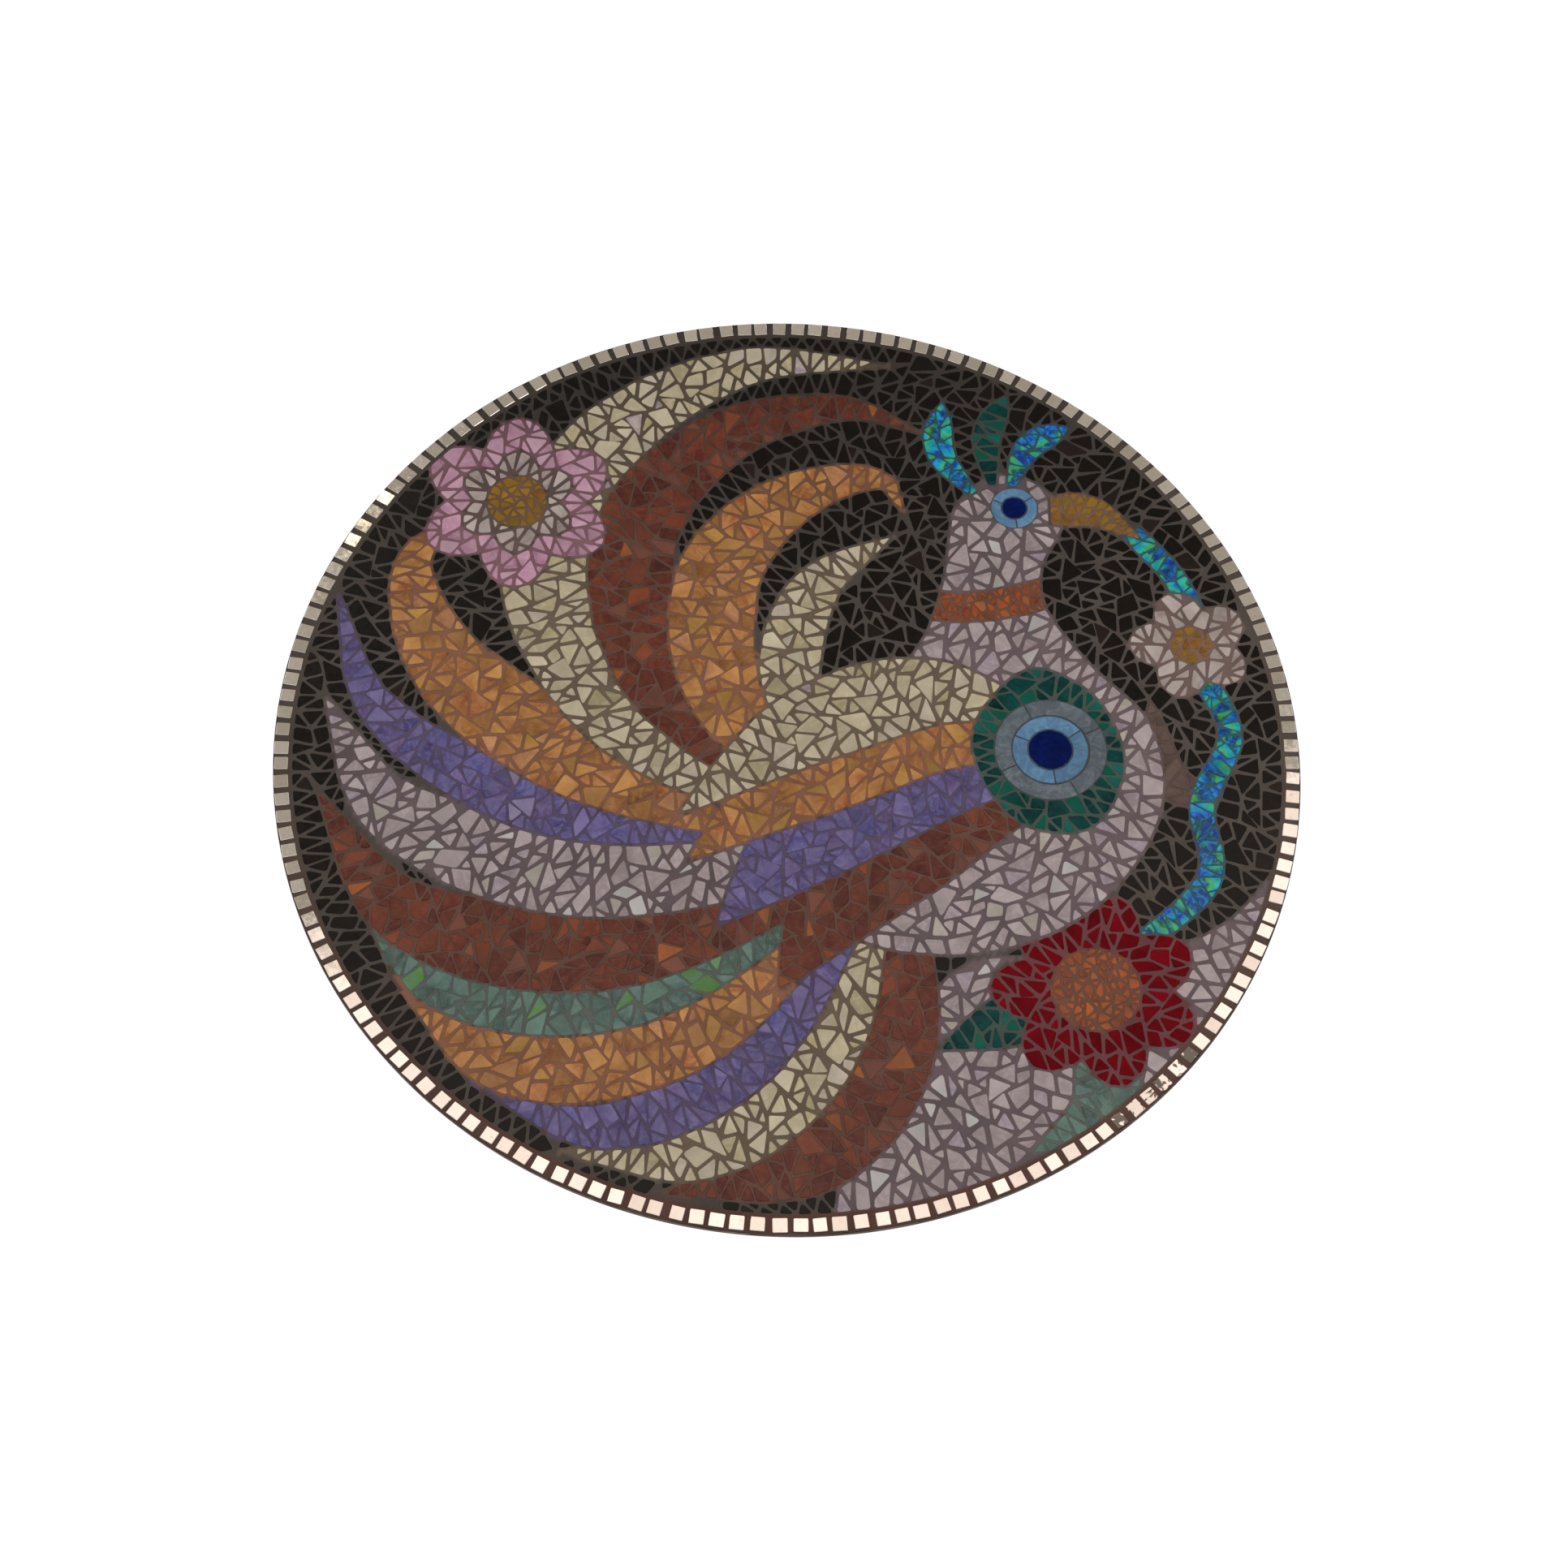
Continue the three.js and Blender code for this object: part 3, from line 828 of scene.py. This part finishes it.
def glass_material(name, recipe):
    """Opaque art glass. Each tile is cut from one of its colours, with streaks, ripples and a gloss."""
    material, tree, bsdf = shader("glass_" + name)
    tile = kept_colour(tree, "tile")
    chances = parted(tree, tile)
    shift = vector_maths(tree, "MULTIPLY", tile, (0.7, 0.4, 0.9))
    sheet = vector_maths(tree, "ADD", object_place(tree), shift)

    across = parted(tree, kept_colour(tree, "across"))[0]
    # One end of each tile, in a direction that differs from tile to tile, is paler: partly the streaky
    # glass's own colour, partly a painted sheen on its hammered facets.
    slope = maths(tree, "MULTIPLY_ADD", across, 0.6, noise(tree, sheet, 70.0, 2.0))
    slope = mapped(tree, slope, 0.5, 1.1)
    flow = recipe["flow"]
    chance = chances[0]
    if flow > FLOWING:
        chance = maths(tree, "FRACT", maths(tree, "MULTIPLY_ADD", slope, flow, chance))

    stops = []
    reached = 0.0
    for share, colour in recipe["cuts"]:
        stops.append((reached, linear(colour)))
        reached += share
    if len(stops) > 1:
        body = ramp(tree, chance, stops, "LINEAR" if flow > FLOWING else "CONSTANT")
    else:
        body = stops[0][1]
    streak = linear(recipe["streak"])
    wisps = greys(tree, noise(tree, sheet, 95.0, 4.0, 2.2), (0.42, 0.0), (0.68, recipe["show"]))
    body = mixed(tree, wisps, body, streak)
    # The paler end is partly the glass's own streak and partly painted sheen.
    if 0 < flow <= FLOWING:
        paler = maths(tree, "MULTIPLY", slope, PALER * min(1.0, flow * 2))
        body = mixed(tree, paler, body, streak)
    body = times(tree, body, greys(tree, noise(tree, sheet, 36.0, 2.0), (0.3, 0.82), (0.7, 1.12)))
    vary = recipe.get("vary", TONES)
    body = times(tree, body, greys(tree, chances[1], (0.0, 1 - vary), (1.0, 1 + vary)))
    tree.links.new(body, bsdf.inputs["Base Color"])

    rough = recipe["rough"]
    gloss = greys(tree, noise(tree, sheet, 240.0, 2.0), (0.3, rough * 0.8), (0.8, rough * 1.5))
    tree.links.new(gloss, bsdf.inputs["Roughness"])
    bsdf.inputs["IOR"].default_value = recipe.get("ior", GLASS_IOR)
    ripples = noise(tree, sheet, 170.0, 2.0, 0.6)
    grain = noise(tree, sheet, 900.0, 2.0)
    bumped(tree, bsdf, maths(tree, "MULTIPLY_ADD", grain, 0.12, ripples), 0.5, 0.12 * MM)
    return material


def mirror_material():
    """Small mirror tiles: silver behind glass, with a faint bloom of grout, and painted dark reflections on
    some.
    """
    material, tree, bsdf = shader("mirror_tiles")
    chances = parted(tree, kept_colour(tree, "tile"))
    place = object_place(tree)
    tones = [(0.0, linear(0xD8D2CA)), (0.7, linear(0xECE8E2)), (1.0, linear(0xF4F2EE))]
    bloom = greys(tree, noise(tree, place, 260.0, 4.0, 1.0), (0.5, 0.0), (0.8, 0.3))
    silver = mixed(tree, bloom, ramp(tree, chances[0], tones), linear(0xB0A698))
    # Painted dark reflections on a few tiles, as dark patches in their colour
    painted_reflection_mask = maths(tree, "MULTIPLY_ADD", chances[2], 0.3, noise(tree, place, 110.0, 2.0, 1.0))
    painted_reflection_mask = mapped(tree, painted_reflection_mask, 0.74, 0.78, 0.92)
    tree.links.new(mixed(tree, painted_reflection_mask, silver, linear(0x4A443C)), bsdf.inputs["Base Color"])
    bsdf.inputs["Metallic"].default_value = 1.0
    blur = greys(tree, noise(tree, place, 300.0, 3.0), (0.4, 0.03), (0.8, 0.16))
    tree.links.new(blur, bsdf.inputs["Roughness"])
    return material


def grout_material():
    """Cement grout, tinted by the area that it lies in, with painted shade towards the top and painted light
    to the right kept in its colours.
    """
    material, tree, bsdf = shader("grout")
    place = object_place(tree)
    blotches = greys(tree, noise(tree, place, 45.0, 4.0), (0.3, 0.84), (0.7, 1.16))
    sand = greys(tree, noise(tree, place, 1400.0, 3.0), (0.3, 0.82), (0.7, 1.18))
    body = times(tree, times(tree, kept_colour(tree, "tile"), blotches), sand)
    tree.links.new(body, bsdf.inputs["Base Color"])
    bsdf.inputs["Roughness"].default_value = 0.9
    bumped(tree, bsdf, noise(tree, place, 1100.0, 4.0), 0.6, 0.15 * MM)
    return material


def board_material():
    """Brown hardboard with a faint fibre, under a brushed dark wash, and smears of grout towards its edge."""
    material, tree, bsdf = shader("board")
    place = object_place(tree)
    drawn = stretched(tree, place, (1.0, 1.0, 9.0))
    fibre = ramp(tree, noise(tree, drawn, 60.0, 6.0, 0.8), [(0.3, linear(0x4A2C22)), (0.7, linear(0x6A4334))])
    strokes = noise(tree, stretched(tree, place, (1.0, 1.0, 14.0)), 5.0, 5.0, 0.4)
    body = times(tree, fibre, greys(tree, strokes, (0.34, 0.72), (0.5, 1.0), (0.68, 1.22)))
    reach = node(tree, "ShaderNodeVectorMath", {0: place}, operation="LENGTH").outputs["Value"]
    edge = mapped(tree, reach, 0.8 * PANEL_RADIUS, PANEL_RADIUS, 0.2)
    smears = maths(tree, "ADD", noise(tree, place, 26.0, 5.0, 1.2), edge)
    smears = greys(tree, smears, (0.66, 0.0), (0.8, 0.55))
    tree.links.new(mixed(tree, smears, body, linear(0x7A6E64)), bsdf.inputs["Base Color"])
    tree.links.new(greys(tree, strokes, (0.3, 0.48), (0.7, 0.8)), bsdf.inputs["Roughness"])
    bumped(tree, bsdf, noise(tree, drawn, 500.0, 4.0), 0.4, 0.1 * MM)
    return material


def floor_material():
    material, _, bsdf = shader("stage_floor")
    bsdf.inputs["Base Color"].default_value = FLOOR_COLOUR
    bsdf.inputs["Roughness"].default_value = 0.9
    return material


# The object

def build_picture():
    materials = {name: glass_material(name, recipe) for name, recipe in GLASS.items()}
    total = 0
    for order, (area, glass) in enumerate(sorted(glass_of.items())):
        rng = np.random.default_rng(SEED + order)
        recipe = GLASS[glass]
        store = new_store()
        if "arcs" in recipe:
            tiles = smooth_pieces(area, recipe["arcs"], recipe["joint"] * MM)
        else:
            tiles = [rounded(tile, CORNER_CUT, rng) for tile in lay(area, recipe, rng)]
        for tile in tiles:
            add_tile(store, tile, rng)
        total += len(tiles)
        piece(area + "_tiles", store, materials[glass], [area])
    print("tiles in the picture:", total)


def build_mirror_row(rng):
    store = new_store()
    half = MIRROR_TILE / 2
    for i in range(MIRROR_COUNT):
        a = 2 * math.pi * (i + 0.5 + rng.uniform(-MIRROR_SLIDE, MIRROR_SLIDE)) / MIRROR_COUNT
        turn = a + math.radians(rng.uniform(-MIRROR_TURN, MIRROR_TURN))
        reach = MIRROR_RADIUS + rng.uniform(*MIRROR_SHIFT) * MM
        centre = np.array([reach * math.cos(a), reach * math.sin(a)])
        wide, high = half * rng.uniform(*MIRROR_SIZE, 2)
        out = np.array([math.cos(turn), math.sin(turn)])
        side = np.array([-out[1], out[0]])
        signs = ((-1, -1), (1, -1), (1, 1), (-1, 1))
        square = np.array([centre + s * wide * out + t * high * side for s, t in signs])
        # A few tiles get painted dark reflections
        painted_reflection = rng.uniform(*PAINTED_REFLECTION_RANGE) if i in PAINTED_REFLECTION_TILES else 0.0
        add_tile(store, rounded(square, MIRROR_CORNER, rng), rng, MIRROR_TILT, painted_reflection)
    piece("mirror_tiles", store, mirror_material(), ["mirror_row"])


def grout_tints(points):
    """The grout's colour at each point, from the area there, with painted shade darker near the top and
    painted light paler on the right.
    """
    lowness = np.clip(-points[:, 1] / PANEL_RADIUS, 0, 1)[:, None]
    tints = (1 - lowness) * np.array(linear(ROW_GROUT_HIGH)) + lowness * np.array(linear(ROW_GROUT_LOW))
    # How much painted shade each area's grout gets towards the top
    top_painted_shade = np.full(len(points), PAINTED_TOP_SHADE)
    for area, glass in glass_of.items():
        loops = front_loops(area)
        low = np.min([loop.min(0) for loop in loops], axis=0) - AREA_MARGIN
        high = np.max([loop.max(0) for loop in loops], axis=0) + AREA_MARGIN
        near = np.flatnonzero(((points > low) & (points < high)).all(1))
        held = near[inside(points[near], loops)]
        tints[held] = linear(GLASS[glass]["grout"])
        top_painted_shade[held] = GLASS[glass].get("top_painted_shade", PAINTED_TOP_SHADE)
    x, z = points.T / PANEL_RADIUS
    # Painted shade darkens the grout towards the top, and painted light pales it towards the right.
    wash = 1 - top_painted_shade * np.clip((z - PAINTED_SHADE_START) / PAINTED_SHADE_REACH, 0, 1) + PAINTED_LIGHT_RIGHT * np.clip(x, 0, 1)
    return np.column_stack([tints[:, :3] * wash[:, None], tints[:, 3]])


def build_grout(rng):
    """One bed of grout with an uneven face, from the coat up to just below the tiles' fronts."""
    rings = round(PANEL_RADIUS / GROUT_GRID)
    radius = PANEL_RADIUS - GROUT_INSET
    level = FRONT + GROUT_DEPTH
    flat = [(0.0, 0.0)]
    starts = [0]
    counts = [1]
    for k in range(1, rings + 1):
        r = radius * k / rings
        count = max(8, 8 * round(2 * math.pi * r / GROUT_GRID / 8))
        starts.append(len(flat))
        counts.append(count)
        for i in range(count):
            a = 2 * math.pi * i / count
            flat.append((r * math.cos(a), r * math.sin(a)))
    points = np.array(flat)
    heights = level + rng.uniform(-1, 1, len(points)) * GROUT_ROUGHNESS
    rim = np.arange(starts[-1], len(points))
    heights[rim] = level + GROUT_EDGE_DROP
    store = new_store()
    store["points"] = [(x, y, z) for (x, z), y in zip(points, heights)]
    for k in range(1, rings + 1):
        store["faces"] += between(starts[k - 1], counts[k - 1], starts[k], counts[k])
    skirt = len(store["points"])
    store["points"] += [(x, COAT_FRONT, z) for x, z in points[rim]]
    count = counts[-1]
    for i in range(count):
        j = (i + 1) % count
        store["faces"].append((starts[-1] + i, starts[-1] + j, skirt + j, skirt + i))
    store["faces"].append(tuple(skirt + i for i in reversed(range(count))))
    store["colours"] = [tuple(tint) for tint in grout_tints(points)] + [linear(GROUT_SIDE)] * count
    obj = piece("grout", store, grout_material(), [])
    for polygon in obj.data.polygons:
        polygon.use_smooth = True


def between(a, a_count, b, b_count):
    """Triangles between two rings of points round the centre, the inner with fewer points than the outer."""
    faces = []
    i = j = 0
    while i < a_count or j < b_count:
        inner_share = (i + 1) / a_count
        outer_share = (j + 1) / b_count
        if a_count == 1 or (j < b_count and outer_share <= inner_share + 1e-9) or i >= a_count:
            faces.append((a + i % a_count, b + j % b_count, b + (j + 1) % b_count))
            j += 1
            if a_count == 1 and j >= b_count:
                break
        else:
            faces.append((a + i % a_count, b + j % b_count, a + (i + 1) % a_count))
            i += 1
    return faces


def build_board():
    reach = PANEL_RADIUS
    profile = [
        (reach, BOARD_FRONT),
        (reach, -BOARD_CHAMFER),
        (reach - BOARD_EASE, -BOARD_CHAMFER + BOARD_EASE),
        (reach - BOARD_CHAMFER, -BOARD_EASE * 0.4),
        (reach - BOARD_CHAMFER - BOARD_EASE, 0),
    ]
    piece("board", lathed(profile, ROUND_SEGMENTS), board_material(), ["backing_board"])


def build_coat(material, rng):
    """The coat of adhesive, spread by hand, so that its edge wanders a little."""
    count = ROUND_SEGMENTS
    coat = lathed([(PANEL_RADIUS, COAT_FRONT), (PANEL_RADIUS, BOARD_FRONT)], count)
    chances = np.tile(rng.uniform(0, COAT_WANDER, count), 3)
    wander = np.convolve(chances, np.ones(WANDER_WIDTH) / WANDER_WIDTH, "same")[count:2 * count]
    for k in range(2):
        for i in range(count):
            x, y, z = coat["points"][k * count + i]
            share = 1 - wander[i] * MM / PANEL_RADIUS
            coat["points"][k * count + i] = (x * share, y, z * share)
    coat["colours"] = [linear(COAT_COLOUR)] * len(coat["points"])
    piece("coat", coat, material, ["adhesive_coat"])


# The stage

def build_stage():
    mesh = bpy.data.meshes.new("floor")
    corners = ((-1, -1), (1, -1), (1, 1), (-1, 1))
    points = [(x * FLOOR_REACH, y * FLOOR_REACH, FLOOR_LEVEL) for x, y in corners]
    mesh.from_pydata(points, [], [(0, 1, 2, 3)])
    mesh.materials.append(floor_material())
    floor = bpy.data.objects.new("floor", mesh)
    bpy.context.scene.collection.objects.link(floor)


def build_world():
    """A pale room, white behind the panel and greyer in front of it, most so high up."""
    world = bpy.data.worlds.new("room")
    bpy.context.scene.world = world
    world.use_nodes = True
    tree = world.node_tree
    way = node(tree, "ShaderNodeTexCoord").outputs["Generated"]
    _, y, z = node(tree, "ShaderNodeSeparateXYZ", {0: way}).outputs
    front = mapped(tree, y, 0.15, -0.25, interpolation_type="SMOOTHSTEP")
    high = mapped(tree, z, -0.1, 0.5, interpolation_type="SMOOTHSTEP")
    room = mixed(tree, front, ROOM_BEHIND, mixed(tree, high, ROOM_LOW, ROOM_HIGH))
    tree.links.new(room, tree.nodes["Background"].inputs["Color"])


def add_light(name, place, aim, size, radiance, colour, roll=0.0):
    """A rectangular soft light, given by how bright its face is. It isn't seen itself."""
    data = bpy.data.lights.new(name, "AREA")
    data.shape = "RECTANGLE"
    data.size, data.size_y = size
    data.energy = radiance * math.pi * size[0] * size[1]
    data.color = colour
    light = bpy.data.objects.new(name, data)
    facing = (Vector(aim) - Vector(place)).to_track_quat("-Z", "Y").to_matrix()
    facing = facing @ Matrix.Rotation(roll, 3, "Z")
    light.matrix_world = Matrix.Translation(place) @ facing.to_4x4()
    light.visible_camera = False
    bpy.context.scene.collection.objects.link(light)


def build_lights():
    # The mirror tiles of the lower half show the window. Its top edge is what they lose sight of higher up.
    add_light(
        "window", place=(0.28, -2.2, 0.42), aim=(0.28, 0, 0.42), size=(3.2, 1.2),
        radiance=0.88, colour=(1.0, 0.83, 0.76), roll=math.radians(13.1),
    )
    add_light(
        "key", place=(-1.5, -2.4, 2.0), aim=(0, 0, 0), size=(1.2, 1.2),
        radiance=3.2, colour=(1.0, 0.96, 0.93),
    )
    add_light(
        "low_fill", place=(1.9, -1.9, -1.1), aim=(0, 0, -0.1), size=(1.2, 1.2),
        radiance=1.7, colour=(1.0, 0.93, 0.9),
    )
    # A few mirror tiles at the upper left catch this small lamp.
    add_light(
        "lamp", place=(-0.56, -2.4, 1.67), aim=(-0.3, 0, 0.2), size=(0.34, 0.03),
        radiance=3.4, colour=(1.0, 0.96, 0.6),
    )


def build_camera():
    """The photograph's view: from below and slightly left, 6.4 panel radii away."""
    azimuth = math.radians(-1.96)
    elevation = math.radians(-28.05)
    yaw = math.radians(-0.089)
    pitch = math.radians(-0.675)
    distance = 6.4 * PANEL_RADIUS
    level = math.cos(elevation)
    back = Vector((math.sin(azimuth) * level, -math.cos(azimuth) * level, math.sin(elevation)))
    forward = -back
    right = forward.cross(Vector((0, 0, 1))).normalized()
    up = right.cross(forward)
    forward = (forward + math.tan(yaw) * right + math.tan(pitch) * up).normalized()
    right = forward.cross(Vector((0, 0, 1))).normalized()
    up = right.cross(forward)
    data = bpy.data.cameras.new("camera")
    data.sensor_width = 36.0
    data.lens = 75.42
    data.clip_end = 100.0
    camera = bpy.data.objects.new("camera", data)
    axes = Matrix((right, up, -forward)).transposed().to_4x4()
    camera.matrix_world = Matrix.Translation(Vector((0, FRONT, 0)) + distance * back) @ axes
    bpy.context.scene.collection.objects.link(camera)
    bpy.context.scene.camera = camera


build_camera()
build_stage()
build_world()
build_lights()
build_picture()
build_mirror_row(np.random.default_rng(SEED + 100))
build_grout(np.random.default_rng(SEED + 101))
build_board()
build_coat(bpy.data.materials["grout"], np.random.default_rng(SEED + 102))
bpy.context.scene.view_settings.view_transform = "Standard"
